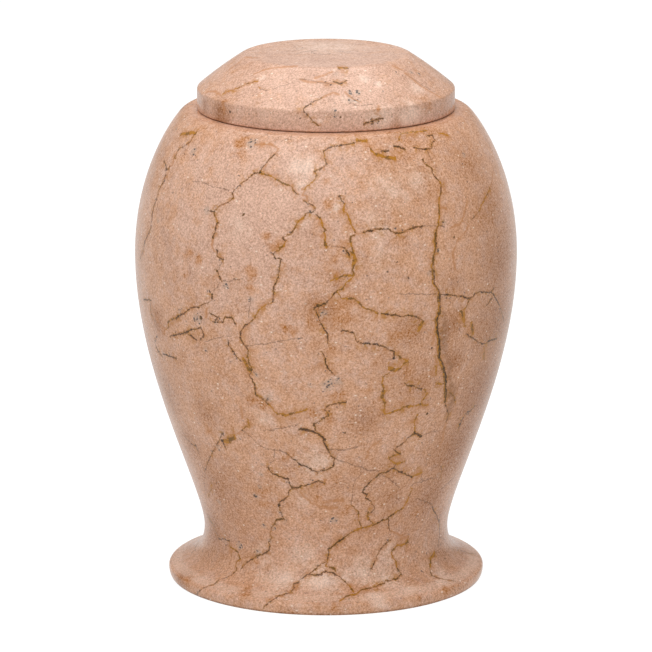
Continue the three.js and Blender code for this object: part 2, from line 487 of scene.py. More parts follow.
def new_group(name, inputs, outputs):
    """An empty node group: its wiring, its input sockets by name, and a function that feeds its outputs."""
    tree = bpy.data.node_groups.new(name, "ShaderNodeTree")
    for socket, kind in inputs.items():
        tree.interface.new_socket(socket, in_out="INPUT", socket_type="NodeSocket" + kind)
    for socket, kind in outputs.items():
        tree.interface.new_socket(socket, in_out="OUTPUT", socket_type="NodeSocket" + kind)
    wiring = Wiring(tree)
    source = wiring.add("NodeGroupInput")
    result = wiring.add("NodeGroupOutput")

    def deliver(**values):
        for socket, value in values.items():
            wiring.feed(result.inputs[socket.capitalize()], value)

    return wiring, source.outputs, deliver


# The drawn veins: routes and marks in pixels of the 652 x 652 frame, as they show from the camera

FRAME_PIXELS = 652
SENSOR_MM = 36.0

# Each kind of vein is drawn in one of four ways, with a half width in millimetres
VEIN_KINDS = {
    "hair": ("hair", 0.20),
    "crack": ("dark", 0.30),
    "cleft": ("dark", 0.55),
    "gold": ("gold", 0.45),
    "ochre": ("gold", 1.00),
    "rust": ("rust", 0.45),
}

LEFT_SHOULDER_VEINS = (
    ("hair", (196, 113), (186, 117), (180, 122)),
    ("ochre", (181, 134), (190, 133), (196, 133)),
    ("crack", (194, 135), (192, 139), (190, 142), (185, 146), (179, 149), (177, 153), (174, 159)),
    ("rust", (174, 159), (173, 163), (171, 167)),
    ("crack", (164, 161), (166, 166), (167, 170), (170, 167)),
    ("crack", (166, 175), (163, 183), (159, 190), (156, 200), (153, 209), (152, 218), (151, 228), (147, 237)),
    ("crack", (147, 237), (145, 241), (143, 252), (140, 258)),
    ("hair", (193, 181), (205, 183), (211, 186), (228, 190)),
)

LEFT_BELLY_VEINS = (
    ("rust", (255, 145), (262, 144), (271, 144), (276, 147), (278, 149), (275, 154)),
    ("crack", (275, 154), (270, 159), (266, 163), (262, 167), (260, 173)),
    ("crack", (260, 173), (254, 173), (247, 179), (240, 185), (235, 190), (233, 193)),
    ("crack", (233, 193), (234, 198), (227, 203), (219, 206), (217, 209), (214, 211), (211, 211)),
    ("gold", (214, 212), (216, 218), (218, 223)),
    ("crack", (218, 223), (216, 228), (214, 234), (213, 238)),
    ("rust", (213, 238), (212, 246), (214, 251)),
    ("crack", (217, 250), (218, 256), (223, 259)),
    ("hair", (223, 259), (222, 262), (220, 267), (217, 271)),
    ("crack", (217, 271), (219, 275), (221, 281)),
    ("hair", (221, 281), (229, 281), (236, 279), (242, 279)),
    ("hair", (221, 281), (220, 283), (215, 289), (212, 295)),
    ("crack", (212, 295), (212, 300), (205, 303), (198, 307), (191, 307), (186, 312), (181, 315), (176, 318)),
    ("gold", (176, 318), (171, 320), (168, 322), (169, 327), (166, 330)),
    ("gold", (260, 173), (267, 175), (272, 176), (277, 180), (282, 183), (287, 184), (291, 186), (294, 191)),
    ("crack", (286, 184), (291, 186), (294, 191), (298, 193)),
    ("hair", (253, 141), (261, 137), (269, 134)),
    ("hair", (282, 141), (285, 139), (291, 139), (291, 136)),
)

MIDDLE_BELLY_VEINS = (
    ("crack", (354, 143), (344, 145), (333, 146), (329, 148), (324, 151)),
    ("gold", (324, 151), (325, 155), (325, 159)),
    ("crack", (325, 159), (327, 164), (324, 167), (319, 169), (315, 171)),
    ("gold", (315, 171), (317, 175), (314, 180), (310, 184), (306, 187), (305, 190)),
    ("rust", (305, 190), (303, 195), (307, 196), (307, 200), (304, 201)),
    ("crack", (304, 201), (308, 204), (313, 206), (315, 209), (313, 212), (306, 214)),
    ("gold", (306, 214), (302, 219), (297, 224), (294, 229)),
    ("crack", (294, 229), (290, 234), (283, 238), (286, 241)),
    ("gold", (286, 241), (283, 246), (279, 249)),
    ("crack", (279, 249), (273, 254), (275, 258), (280, 259), (280, 265), (279, 271), (279, 276), (276, 283)),
    ("crack", (276, 283), (273, 290), (273, 301)),
    ("gold", (273, 302), (266, 305), (261, 308), (257, 313), (255, 318), (250, 322)),
    ("crack", (250, 322), (246, 325), (244, 328), (240, 332), (240, 337), (242, 342), (246, 346), (248, 350)),
    ("gold", (248, 350), (247, 356), (250, 364), (252, 370)),
    ("crack", (228, 341), (229, 346), (233, 351), (236, 356), (241, 361)),
    ("ochre", (243, 358), (246, 364), (250, 371)),
    ("crack", (252, 370), (249, 375), (252, 380), (254, 384), (255, 389), (256, 395), (262, 399), (268, 404)),
    ("gold", (268, 404), (272, 408), (274, 411), (278, 414), (286, 415), (293, 413), (302, 411), (307, 409)),
    ("hair", (247, 346), (258, 344), (270, 343), (281, 341), (292, 339), (302, 338)),
    ("crack", (316, 214), (320, 218)),
    ("gold", (320, 218), (322, 224), (325, 230), (325, 238), (326, 248)),
)

GOLDEN_VEINS = (
    ("crack", (339, 196), (342, 201), (345, 204)),
    ("gold", (345, 204), (343, 211), (347, 214), (349, 219), (351, 224), (356, 232)),
    ("gold", (356, 234), (351, 237), (350, 241), (352, 248), (355, 255), (354, 262)),
    ("ochre", (352, 252), (355, 258), (353, 266)),
    ("gold", (354, 262), (353, 270), (353, 276), (349, 281), (345, 284), (343, 289), (338, 291)),
    ("crack", (338, 291), (334, 294), (328, 301), (325, 304)),
    ("cleft", (325, 304), (318, 306), (314, 309)),
    ("crack", (314, 309), (317, 314), (320, 321), (322, 326), (327, 333), (328, 343)),
    ("crack", (322, 352), (325, 358), (326, 365), (330, 371), (334, 375)),
    ("gold", (332, 280), (343, 276), (352, 275)),
    ("hair", (333, 246), (344, 247)),
    ("crack", (344, 247), (347, 251), (350, 257)),
    ("gold", (338, 293), (342, 298), (354, 299), (361, 305), (365, 308), (377, 313)),
)

CROSSING_VEINS = (
    ("rust", (356, 234), (364, 232)),
    ("crack", (364, 232), (370, 231), (378, 229), (388, 229), (395, 233), (403, 232), (410, 229), (422, 226)),
    ("hair", (422, 226), (432, 226), (439, 226), (444, 227)),
    ("rust", (450, 228), (459, 225), (463, 220)),
    ("gold", (490, 189), (486, 196), (482, 204), (479, 211)),
    ("crack", (479, 211), (476, 215), (472, 220)),
    ("rust", (493, 168), (492, 181), (490, 189)),
    ("rust", (467, 202), (465, 210), (463, 218)),
    ("rust", (463, 221), (469, 225), (467, 230), (459, 239), (455, 247), (453, 252), (454, 262), (455, 270)),
)

UNDER_LID_VEINS = (
    ("ochre", (357, 140), (362, 141), (367, 141)),
    ("ochre", (370, 149), (375, 154), (382, 156), (388, 158), (395, 158)),
    ("cleft", (382, 151), (388, 151)),
    ("cleft", (394, 146), (401, 148), (405, 149)),
    ("gold", (400, 132), (400, 137), (399, 141)),
    ("gold", (401, 134), (411, 132), (420, 131), (427, 131)),
    ("gold", (438, 133), (448, 135)),
    ("crack", (414, 148), (420, 149), (425, 149), (432, 148), (432, 143), (435, 140), (432, 135), (427, 136)),
    ("crack", (422, 159), (425, 164), (431, 168), (432, 172), (436, 179)),
    ("hair", (428, 152), (431, 159), (434, 162)),
)

RIGHT_VEINS = (
    ("gold", (436, 179), (440, 181), (441, 186)),
    ("crack", (441, 186), (441, 194)),
    ("gold", (441, 194), (439, 198), (439, 208), (439, 217), (439, 226)),
    ("rust", (439, 208), (446, 208)),
    ("crack", (439, 226), (436, 230), (436, 235), (436, 244), (436, 249), (434, 256), (433, 264), (434, 272)),
    ("crack", (434, 272), (434, 283), (439, 290), (440, 300), (440, 312)),
    ("cleft", (440, 312), (437, 318), (438, 332), (440, 345), (439, 358), (442, 363)),
    ("cleft", (442, 363), (444, 369), (446, 376), (446, 385), (446, 394), (445, 403)),
    ("crack", (445, 403), (447, 410), (448, 415), (446, 422)),
    ("rust", (446, 422), (444, 431), (443, 439), (439, 448)),
    ("gold", (448, 390), (454, 396), (455, 402)),
    ("gold", (438, 226), (435, 235), (435, 249), (433, 258), (432, 266), (433, 283), (438, 291), (439, 312)),
    ("ochre", (439, 312), (436, 318), (437, 332), (439, 345), (439, 358), (443, 369), (445, 377), (445, 402)),
    ("hair", (400, 294), (420, 294), (438, 294)),
    ("crack", (439, 294), (462, 296), (470, 299), (476, 293), (479, 292), (490, 292), (494, 288)),
    ("cleft", (490, 291), (496, 298), (499, 305)),
    ("crack", (499, 305), (502, 314), (504, 322)),
    ("cleft", (492, 298), (486, 306)),
    ("gold", (470, 299), (468, 303), (464, 310), (464, 316), (465, 326)),
    ("ochre", (461, 311), (463, 314), (464, 322)),
    ("ochre", (471, 322), (472, 326), (473, 334)),
    ("cleft", (466, 334), (472, 338), (482, 344)),
    ("crack", (482, 344), (489, 341), (497, 338)),
    ("gold", (484, 348), (484, 360)),
    ("hair", (497, 347), (492, 355)),
)

RIGHT_MIDDLE_VEINS = (
    ("crack", (382, 314), (388, 314), (399, 316), (410, 316), (417, 317), (422, 320)),
    ("ochre", (422, 322), (420, 327), (419, 330)),
    ("rust", (425, 330), (434, 336), (433, 344)),
    ("crack", (342, 331), (352, 332), (358, 342), (367, 344), (376, 344), (386, 348), (394, 352), (394, 357)),
    ("ochre", (389, 368), (394, 370)),
    ("gold", (394, 371), (400, 369), (404, 364), (408, 361), (399, 357)),
    ("gold", (389, 373), (383, 377), (382, 382), (384, 387), (384, 391)),
    ("ochre", (384, 391), (382, 397), (384, 402)),
    ("gold", (384, 402), (385, 408), (384, 411), (385, 414)),
    ("gold", (385, 414), (391, 413), (398, 410), (404, 407), (412, 406), (418, 405), (428, 405)),
    ("gold", (425, 390), (427, 394), (422, 401), (420, 404)),
    ("crack", (405, 384), (408, 386), (415, 386), (421, 389)),
    ("gold", (436, 366), (436, 375)),
    ("gold", (436, 383), (444, 384)),
    ("gold", (418, 414), (416, 417), (414, 422), (415, 426), (415, 433)),
    ("cleft", (415, 433), (421, 436)),
    ("hair", (421, 436), (426, 434), (430, 432), (437, 431)),
    ("crack", (415, 433), (408, 438), (405, 442), (402, 444), (396, 447), (394, 451), (400, 453)),
    ("gold", (400, 453), (395, 455), (389, 457), (391, 461), (396, 464), (404, 462)),
    ("crack", (396, 464), (393, 468), (389, 471), (382, 473), (376, 477), (370, 482), (364, 488), (363, 493)),
    ("crack", (363, 493), (367, 494), (366, 498), (370, 500), (372, 504), (374, 509), (373, 511), (368, 513)),
    ("gold", (368, 513), (368, 519), (373, 524)),
    ("crack", (394, 468), (398, 471), (405, 474), (412, 477)),
    ("gold", (412, 477), (417, 474), (422, 473)),
    ("hair", (422, 473), (421, 479), (425, 481), (430, 478), (437, 478)),
    ("hair", (382, 475), (389, 478), (399, 487)),
    ("gold", (411, 487), (412, 489), (410, 494), (407, 501), (403, 508)),
    ("hair", (425, 481), (417, 482), (411, 486)),
    ("crack", (441, 467), (441, 473), (439, 479)),
    ("hair", (455, 476), (445, 486), (440, 490), (436, 498), (432, 507)),
    ("hair", (430, 453), (427, 456), (426, 464)),
    ("crack", (475, 406), (471, 410), (465, 414), (462, 420), (459, 425), (458, 430)),
    ("cleft", (463, 418), (459, 427)),
    ("rust", (381, 440), (373, 445), (369, 450), (367, 457)),
)

LOW_MIDDLE_VEINS = (
    ("crack", (345, 402), (333, 404), (328, 406), (325, 410), (329, 415), (324, 419), (318, 422), (314, 424)),
    ("crack", (314, 424), (315, 429)),
    ("cleft", (300, 429), (307, 430), (314, 432), (320, 434), (325, 439)),
    ("crack", (325, 439), (323, 442), (326, 446), (329, 450), (330, 454), (334, 459)),
    ("hair", (334, 459), (342, 461), (350, 464), (362, 467), (369, 470), (378, 471)),
    ("hair", (264, 431), (288, 427), (298, 425)),
    ("hair", (330, 450), (344, 450), (357, 447)),
    ("hair", (243, 431), (251, 437), (256, 442), (263, 447), (272, 450), (280, 450), (287, 454)),
    ("crack", (287, 454), (294, 459), (299, 464), (307, 467), (314, 471), (320, 472)),
    ("crack", (320, 472), (326, 470), (331, 468), (334, 464), (334, 459)),
    ("hair", (275, 450), (274, 460), (268, 466), (268, 469)),
    ("crack", (268, 469), (274, 474), (282, 477), (288, 479), (290, 484), (292, 488)),
    ("crack", (292, 488), (289, 491), (287, 498), (280, 502), (279, 507)),
    ("crack", (292, 488), (300, 487), (305, 486), (312, 483), (318, 481), (324, 483)),
    ("rust", (301, 494), (307, 499), (312, 503), (320, 506), (330, 508), (337, 508)),
    ("rust", (324, 502), (336, 501), (343, 500)),
    ("hair", (361, 470), (361, 475), (355, 481), (353, 485), (352, 496), (352, 505)),
    ("gold", (352, 505), (358, 512), (360, 524), (361, 528)),
)

LOW_LEFT_VEINS = (
    ("hair", (169, 385), (170, 397), (172, 406), (176, 416), (180, 426), (185, 437), (192, 444)),
    ("crack", (192, 444), (196, 446), (198, 451)),
    ("hair", (198, 451), (200, 456), (202, 464), (205, 473), (208, 477), (214, 484)),
    ("hair", (205, 474), (204, 483), (206, 496)),
    ("gold", (211, 482), (211, 491), (208, 498)),
    ("crack", (223, 432), (220, 439), (216, 446), (213, 452), (210, 457), (207, 465), (205, 471)),
    ("crack", (222, 441), (226, 448)),
    ("ochre", (224, 441), (230, 440), (235, 437)),
    ("rust", (235, 437), (241, 431)),
    ("gold", (248, 420), (249, 425), (242, 430)),
    ("rust", (241, 407), (242, 417)),
    ("rust", (151, 303), (154, 312), (157, 320), (162, 328)),
    ("crack", (150, 301), (151, 313), (155, 321)),
    ("crack", (144, 300), (151, 300)),
    ("crack", (170, 336), (180, 334), (185, 333), (191, 330), (200, 328)),
    ("crack", (200, 328), (203, 332), (204, 337), (201, 340)),
    ("crack", (185, 333), (191, 336), (196, 340)),
    ("hair", (206, 341), (215, 339), (223, 336), (230, 336)),
    ("rust", (207, 309), (206, 317)),
    ("crack", (210, 313), (214, 315), (218, 317), (215, 322), (223, 322), (225, 318), (232, 317), (236, 325)),
    ("hair", (250, 298), (250, 305), (249, 317)),
    ("crack", (157, 336), (155, 343), (157, 349), (162, 356)),
    ("crack", (163, 354), (170, 356), (176, 358)),
)

FOOT_VEINS = (
    ("crack", (208, 516), (214, 526), (217, 535), (219, 539)),
    ("crack", (219, 539), (224, 539), (229, 541)),
    ("gold", (229, 542), (230, 547), (238, 552), (240, 559), (236, 563), (236, 570)),
    ("crack", (236, 571), (231, 575), (225, 578), (220, 579), (215, 584), (206, 587), (201, 590), (197, 594)),
    ("crack", (279, 507), (281, 512), (284, 519)),
    ("crack", (284, 519), (277, 520), (274, 524), (271, 528), (270, 534), (272, 537), (269, 543), (270, 548)),
    ("crack", (270, 548), (268, 552), (263, 554), (257, 556), (253, 559), (246, 563), (242, 567)),
    ("crack", (309, 574), (304, 577), (299, 582), (294, 584), (294, 588), (290, 593), (286, 594), (279, 596)),
    ("crack", (279, 596), (273, 600), (267, 604), (264, 608)),
    ("gold", (403, 508), (395, 513), (388, 518), (380, 522), (373, 525), (362, 528)),
    ("crack", (395, 513), (388, 518), (380, 522), (373, 525)),
    ("gold", (362, 528), (354, 531), (349, 534), (344, 538), (334, 545), (329, 549)),
    ("crack", (344, 538), (334, 545), (329, 549), (328, 555), (327, 560), (319, 566), (310, 574)),
    ("crack", (388, 518), (389, 528), (391, 531)),
    ("rust", (391, 531), (398, 534), (402, 536), (401, 539), (408, 537)),
    ("gold", (408, 537), (408, 542), (401, 546), (397, 545), (392, 551), (392, 555), (395, 560), (398, 569)),
    ("crack", (398, 569), (401, 574), (396, 579), (385, 581), (385, 584), (379, 585), (371, 588), (361, 590)),
    ("gold", (361, 590), (357, 594), (346, 596), (340, 601)),
    ("crack", (390, 540), (383, 546), (378, 553), (375, 561), (371, 569)),
    ("gold", (327, 560), (326, 565), (336, 570)),
    ("crack", (307, 575), (319, 575), (325, 571), (336, 574), (345, 582)),
    ("gold", (345, 582), (350, 586), (353, 592)),
    ("crack", (432, 507), (434, 511), (437, 516), (439, 522), (440, 530), (439, 539), (438, 546)),
    ("ochre", (435, 552), (431, 558), (430, 566)),
    ("crack", (430, 566), (431, 575), (438, 578), (455, 581)),
    ("hair", (415, 498), (432, 504)),
    ("hair", (439, 537), (445, 540), (449, 547)),
)

BODY_VEINS = (
    *LEFT_SHOULDER_VEINS,
    *LEFT_BELLY_VEINS,
    *MIDDLE_BELLY_VEINS,
    *GOLDEN_VEINS,
    *CROSSING_VEINS,
    *UNDER_LID_VEINS,
    *RIGHT_VEINS,
    *RIGHT_MIDDLE_VEINS,
    *LOW_MIDDLE_VEINS,
    *LOW_LEFT_VEINS,
    *FOOT_VEINS,
)

LID_VEINS = (
    ("crack", (323, 97), (315, 101), (308, 105), (303, 108), (304, 112)),
    ("crack", (304, 112), (309, 117), (313, 122), (318, 126)),
    ("rust", (323, 97), (333, 93), (338, 94)),
    ("rust", (230, 69), (240, 62), (245, 57), (256, 58)),
    ("rust", (254, 74), (264, 70), (273, 68), (286, 67), (297, 66)),
    ("gold", (225, 92), (233, 90), (240, 87), (248, 83), (258, 81)),
    ("gold", (258, 86), (261, 89)),
    ("hair", (261, 89), (267, 91), (276, 88), (285, 85), (295, 81), (300, 79)),
    ("rust", (300, 79), (309, 82), (321, 82), (329, 84), (346, 81)),
    ("rust", (315, 78), (327, 74), (331, 72)),
    ("ochre", (338, 68), (347, 68)),
    ("rust", (391, 65), (405, 71)),
    ("hair", (407, 75), (415, 80), (424, 86), (432, 91), (440, 95)),
    ("crack", (365, 124), (374, 121), (382, 119)),
    ("rust", (223, 103), (224, 112)),
    ("rust", (378, 105), (378, 112)),
    ("rust", (430, 103), (429, 109)),
    ("rust", (405, 73), (412, 79), (421, 86), (431, 92), (440, 97)),
    ("rust", (207, 92), (214, 91), (220, 95)),
    ("hair", (318, 50), (330, 53), (345, 55), (357, 57)),
    ("hair", (300, 79), (310, 80), (319, 83), (328, 84)),
    ("crack", (334, 82), (340, 84), (346, 81)),
    ("hair", (350, 103), (360, 106), (372, 104)),
    ("rust", (345, 92), (352, 98), (360, 102)),
    ("hair", (280, 53), (296, 54), (312, 51)),
)

# Soft marks by kind: pixel, radius in millimetres, strength
BODY_MARKS = {
    "stain": (
        ((252, 402), 4.0, 1.0), ((261, 403), 4.5, 1.0), ((266, 236), 5.0, 0.9), ((275, 245), 6.0, 1.0),
        ((250, 271), 6.5, 0.9), ((250, 287), 5.0, 0.7), ((190, 254), 4.5, 0.7), ((199, 259), 4.0, 0.9),
        ((186, 276), 6.0, 0.6), ((240, 143), 6.0, 0.8), ((240, 157), 5.0, 0.7), ((262, 146), 7.0, 0.6),
        ((246, 362), 4.0, 1.0), ((284, 330), 4.5, 0.8), ((293, 330), 4.5, 0.8), ((310, 325), 8.0, 0.5),
        ((399, 335), 11.0, 0.7), ((340, 305), 7.0, 0.8), ((338, 322), 7.0, 0.8), ((337, 280), 4.0, 0.8),
        ((286, 461), 6.0, 0.8), ((268, 504), 5.5, 0.9), ((345, 511), 4.5, 1.0), ((312, 414), 5.0, 0.8),
        ((339, 396), 5.5, 0.8), ((369, 389), 6.0, 0.6), ((164, 331), 4.5, 1.0), ((157, 319), 3.5, 0.9),
        ((246, 592), 6.5, 0.9),
        ((270, 599), 4.0, 0.8), ((256, 562), 4.0, 1.0), ((334, 606), 4.0, 1.0), ((422, 596), 4.5, 0.9),
        ((446, 588), 4.0, 1.0), ((188, 580), 8.0, 0.7), ((416, 515), 5.0, 0.6), ((344, 240), 8.0, 0.5),
        ((335, 260), 7.0, 0.5), ((211, 431), 5.0, 0.6), ((405, 140), 8.0, 0.5), ((425, 134), 7.0, 0.5),
        ((280, 457), 6.0, 0.9), ((292, 468), 6.0, 0.8), ((262, 492), 5.5, 0.8), ((330, 418), 6.0, 0.8),
        ((352, 300), 7.0, 0.9), ((346, 318), 6.0, 0.9), ((325, 182), 4.0, 0.6), ((328, 206), 5.0, 0.7),
        ((330, 480), 7.0, 0.6), ((408, 375), 7.0, 0.6), ((405, 545), 7.0, 0.6), ((365, 143), 6.0, 0.6),
        ((330, 350), 7.0, 0.6), ((322, 500), 6.0, 0.7), ((460, 315), 6.0, 0.8), ((470, 330), 5.0, 0.8),
    ),
    "tan": (
        ((490, 215), 36.0, 0.5), ((500, 262), 44.0, 0.7), ((498, 325), 48.0, 0.8), ((482, 390), 46.0, 0.9),
        ((456, 448), 40.0, 0.9), ((430, 496), 32.0, 0.7), ((393, 497), 16.0, 0.6), ((218, 486), 42.0, 0.6),
        ((206, 414), 18.0, 0.6), ((320, 308), 14.0, 0.7), ((365, 420), 18.0, 0.6), ((435, 520), 16.0, 0.6),
        ((215, 530), 28.0, 0.7), ((335, 280), 12.0, 0.5), ((158, 322), 14.0, 0.8), ((412, 330), 18.0, 0.6),
        ((168, 395), 28.0, 0.6), ((180, 582), 14.0, 0.8), ((452, 325), 16.0, 0.7), ((470, 165), 26.0, 0.5),
        ((190, 445), 26.0, 0.6), ((454, 362), 18.0, 0.7), ((418, 385), 30.0, 0.5), ((452, 285), 18.0, 0.5),
        ((385, 360), 20.0, 0.4), ((390, 470), 24.0, 0.5), ((440, 548), 18.0, 0.5), ((150, 360), 24.0, 0.5),
    ),
    # Pale marks: pale clouds of the stone; those at (304, 168) and (300, 186) paint the highlight on the
    # shoulder, and those on the foot are partly painted highlight
    "pale": (
        ((304, 168), 11.0, 0.9), ((300, 186), 7.0, 0.8), ((337, 208), 3.0, 1.2), ((317, 588), 6.0, 0.9),
        ((377, 598), 9.0, 1.0), ((390, 190), 18.0, 0.6), ((418, 180), 14.0, 0.6), ((272, 575), 11.0, 0.8),
        ((240, 225), 14.0, 0.5), ((265, 420), 12.0, 0.5), ((298, 224), 10.0, 0.6), ((378, 226), 12.0, 0.6),
        ((380, 256), 12.0, 0.5), ((318, 462), 15.0, 0.7), ((302, 498), 10.0, 0.5), ((300, 556), 13.0, 0.7),
        ((262, 550), 10.0, 0.6), ((385, 578), 13.0, 0.8), ((345, 578), 10.0, 0.7), ((440, 575), 12.0, 0.7),
        ((385, 552), 12.0, 0.6), ((300, 440), 9.0, 0.4),
        ((322, 581), 16.0, 0.9), ((282, 584), 14.0, 0.8), ((365, 572), 14.0, 0.8), ((405, 588), 12.0, 0.6),
    ),
    "rose": (
        ((250, 215), 75.0, 1.1),
    ),
    "shade": (
        ((442, 314), 4.0, 0.8), ((442, 322), 4.6, 0.9), ((443, 330), 4.8, 1.0), ((443, 338), 5.0, 1.0),
        ((444, 346), 5.0, 1.0), ((446, 354), 4.8, 0.9), ((448, 362), 4.6, 0.9), ((450, 370), 4.4, 0.9),
        ((450, 378), 4.4, 0.9), ((451, 386), 4.8, 1.0), ((452, 394), 5.2, 1.1), ((452, 402), 5.0, 1.1),
        ((450, 410), 4.4, 0.9), ((447, 419), 4.0, 0.7), ((445, 430), 3.5, 0.6),
    ),
    "grey": (
        ((268, 398), 3.5, 1.2), ((198, 318), 4.0, 1.2), ((206, 349), 5.0, 0.8), ((194, 151), 3.5, 1.1),
        ((251, 146), 4.0, 1.3), ((207, 210), 3.0, 1.2), ((250, 299), 2.5, 1.0), ((226, 286), 2.5, 1.2),
        ((158, 221), 2.5, 1.0), ((334, 520), 3.5, 1.2), ((258, 553), 3.5, 1.2), ((240, 546), 3.0, 1.2),
        ((219, 502), 2.5, 1.3), ((264, 526), 2.5, 0.9), ((437, 250), 2.2, 1.2), ((430, 273), 2.5, 1.3),
        ((346, 252), 2.5, 1.2), ((444, 222), 2.5, 1.0), ((328, 385), 5.0, 1.2), ((340, 382), 4.5, 1.3),
        ((323, 313), 3.0, 1.2), ((230, 330), 3.5, 0.8), ((395, 235), 4.0, 0.7), ((176, 129), 2.5, 1.0),
        ((464, 155), 2.5, 1.0), ((438, 475), 2.5, 1.0), ((261, 474), 2.5, 1.1), ((256, 496), 2.5, 1.2),
        ((223, 538), 2.5, 1.1), ((310, 385), 3.0, 0.7), ((180, 312), 5.0, 0.9), ((285, 520), 3.0, 1.0),
        ((280, 512), 2.6, 1.2), ((273, 528), 2.4, 1.2), ((270, 541), 2.4, 1.1), ((262, 465), 2.0, 1.0),
        ((260, 487), 2.2, 1.1), ((257, 375), 2.2, 1.1), ((222, 433), 2.6, 1.2), ((218, 447), 2.4, 1.1),
    ),
    "dot": (
        ((244, 214), 0.95, 1.5), ((210, 292), 0.9, 1.4), ((345, 433), 0.8, 1.4), ((427, 414), 0.95, 1.5),
        ((222, 441), 1.2, 1.5), ((242, 430), 1.0, 1.4), ((388, 272), 0.9, 1.3), ((408, 278), 0.8, 1.3),
        ((213, 237), 0.9, 1.4), ((217, 271), 0.8, 1.3), ((201, 318), 1.5, 1.4), ((279, 505), 1.2, 1.4),
        ((394, 358), 1.0, 1.3), ((432, 348), 0.9, 1.3), ((454, 237), 0.9, 1.2), ((397, 262), 0.7, 1.2),
        ((487, 232), 0.8, 1.2), ((318, 306), 1.3, 1.4), ((254, 496), 1.0, 1.4), ((329, 411), 0.8, 1.2),
        ((263, 399), 0.8, 1.2),
    ),
}

LID_MARKS = {
    "stain": (
        ((342, 68), 4.0, 0.9), ((224, 107), 4.0, 0.9), ((429, 106), 4.5, 0.6), ((330, 84), 5.0, 0.6),
        ((378, 110), 4.0, 0.6), ((395, 68), 5.0, 0.5),
    ),
    "tan": (
        ((220, 114), 12.0, 0.9), ((205, 106), 8.0, 0.7),
    ),
    # Pale marks: pale stone; the large one over the lid's top at (326, 46) is partly a painted reflection
    "pale": (
        ((320, 121), 1.8, 1.4), ((262, 78), 3.0, 1.2), ((366, 78), 5.0, 1.0), ((378, 84), 3.0, 1.0),
        ((415, 88), 8.0, 0.8), ((316, 100), 4.0, 0.7), ((345, 100), 6.0, 0.5), ((326, 46), 34.0, 0.7),
        ((410, 116), 14.0, 0.9), ((380, 117), 12.0, 0.9), ((262, 116), 8.0, 0.4),
    ),
    "rose": (
        ((326, 70), 90.0, 1.2),
    ),
    "grey": (
        ((350, 93), 4.0, 1.3), ((358, 93), 2.5, 1.3), ((336, 74), 3.5, 0.9), ((333, 116), 4.5, 0.8),
        ((374, 121), 3.5, 1.0), ((419, 74), 2.5, 1.1), ((411, 72), 2.5, 1.1), ((354, 100), 4.0, 1.0),
        ((300, 48), 6.0, 0.6), ((345, 52), 6.0, 0.6),
    ),
    "dot": (
        ((230, 112), 0.9, 1.3), ((249, 114), 0.6, 1.1), ((340, 117), 0.8, 1.2), ((325, 82), 0.8, 1.2),
        ((331, 85), 0.7, 1.2),
        ((296, 54), 0.8, 1.2), ((300, 118), 0.6, 1.1), ((362, 117), 0.6, 1.1), ((311, 50), 0.8, 1.2),
    ),
}

VEIN_COLOURS = ("dark", "hair", "gold", "rust")
MARK_KINDS = ("stain", "tan", "pale", "rose", "shade", "grey", "dot")

# Routes are cut into steady runs, which overlap where they meet and are far off past their ends
SHORTEST_STEP_MM = 0.1
STEEPEST_STEP = 2.2
RUN_OVERLAP_MM = 0.8
RUN_END_MM = 0.4
RUN_CLEAR_MM = 3.0
FAR_MM = 500.0

# From this radius up, marks have ragged edges
RAGGED_FROM_MM = 3.8

# Tries for a point at the outline, each a pixel further in
EDGE_TRIES = 8

# How much a point's radius takes from its way up the outline
LEAN = 0.5


def camera_place(stage):
    """Where the camera stands and how it is turned."""
    pitch = stage.camera_pitch
    back = Vector((0, -math.cos(pitch), math.sin(pitch))) * stage.camera_distance
    turn = Euler((math.pi / 2 - pitch, 0, 0))
    return Vector((0, 0, stage.aim_height)) + back, turn


def stone_point(piece, pixel, stage):
    """The point of a piece that shows at a pixel, or just inside the outline where the pixel misses it."""
    place, turn = camera_place(stage)
    focal_pixels = stage.focal_length * FRAME_PIXELS / SENSOR_MM
    middle = FRAME_PIXELS / 2
    across = pixel[0] - middle
    up = middle - pixel[1]
    for inset in range(EDGE_TRIES):
        moved = across - math.copysign(inset, across)
        sight = Vector((moved, up, -focal_pixels))
        sight.rotate(turn)
        hit, point, _normal, _face = piece.ray_cast(place, sight)
        if hit:
            return point / MM
    raise RuntimeError(f"pixel {pixel} is not on {piece.name}")


def unrolled(point, girth):
    """A point of the stone as (round, along): the angle as a length, and the way up the outline."""
    radius = math.hypot(point.x, point.y)
    return math.atan2(point.x, -point.y) * girth, point.z - LEAN * radius


def steady_run(points, start, way):
    """How far a route goes on from one point without turning back or getting steep in a direction."""
    end = start
    sign = math.copysign(1, points[start + 1][way] - points[start][way])
    for here, there in zip(points[start:], points[start + 1:]):
        ahead = sign * (there[way] - here[way])
        aside = abs(there[1 - way] - here[1 - way])
        if ahead < SHORTEST_STEP_MM or aside > STEEPEST_STEP * ahead:
            break
        end += 1
    return end


def steady_runs(points):
    """Splits a route into runs, each with its direction, 0 round or 1 along, in which it never turns back."""
    runs = []
    start = 0
    while start < len(points) - 1:
        end, way = max((steady_run(points, start, way), way) for way in (0, 1))
        end = max(end, start + 1)
        runs.append((way, points[start:end + 1]))
        start = end
    return runs


def carried_on(before, end):
    """A point a little past the end of a line, so that the runs of a vein overlap where they meet."""
    before, end = Vector(before), Vector(end)
    return tuple(end + RUN_OVERLAP_MM * (end - before).normalized())


def distance_to_run(wiring, surface, way, run):
    """How far a point lies from one run of a vein, in millimetres, and very far past the run's ends."""
    line = sorted((point[way], point[1 - way]) for point in run)
    line = [carried_on(line[1], line[0]), *line, carried_on(line[-2], line[-1])]
    before = [(line[0][0] - gap, FAR_MM) for gap in (RUN_CLEAR_MM, RUN_END_MM)]
    after = [(line[-1][0] + gap, FAR_MM) for gap in (RUN_END_MM, RUN_CLEAR_MM)]
    route = wiring.curve(surface[way], [*before, *line, *after])
    return wiring.math("ABSOLUTE", wiring.math("SUBTRACT", surface[1 - way], route))


